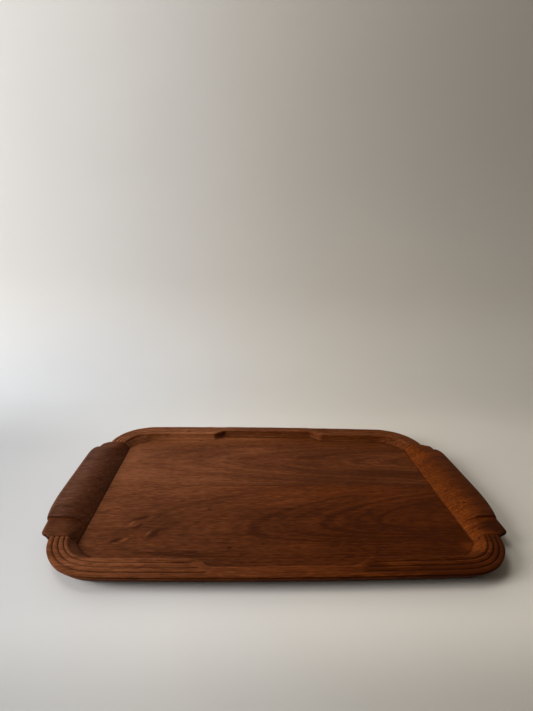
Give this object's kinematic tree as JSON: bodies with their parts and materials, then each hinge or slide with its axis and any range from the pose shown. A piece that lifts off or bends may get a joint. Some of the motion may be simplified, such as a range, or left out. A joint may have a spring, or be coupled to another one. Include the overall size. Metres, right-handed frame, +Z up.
{
  "type": "serving tray",
  "caption": "Rectangular carved wooden serving tray with rounded reeded corners, an S-curved plain rim and raised, bowed end handles with finger recesses beneath.",
  "frame": {"origin": "middle of the tray's flat underside, on the table", "axes": "+X along the tray's length towards the right handle, +Y from the front side to the back side, +Z up"},
  "size_m": [0.505, 0.32, 0.0206],
  "materials": {
    "tray_wood": "reddish-brown hardwood, waxed, satin",
    "handle_wood": "reddish-brown hardwood, waxed and handled smooth",
    "joint_wood": "plain hardwood, unfinished, hidden inside the joints"
  },
  "bodies": {
    "root": {"front_board": "tray_wood", "back_board": "tray_wood", "left_handle": "handle_wood", "right_handle": "handle_wood", "joint_tongue": "joint_wood", "left_dowel_1": "joint_wood", "left_dowel_2": "joint_wood", "left_dowel_3": "joint_wood", "left_dowel_4": "joint_wood", "right_dowel_1": "joint_wood", "right_dowel_2": "joint_wood", "right_dowel_3": "joint_wood", "right_dowel_4": "joint_wood"}
  },
  "joints": []
}
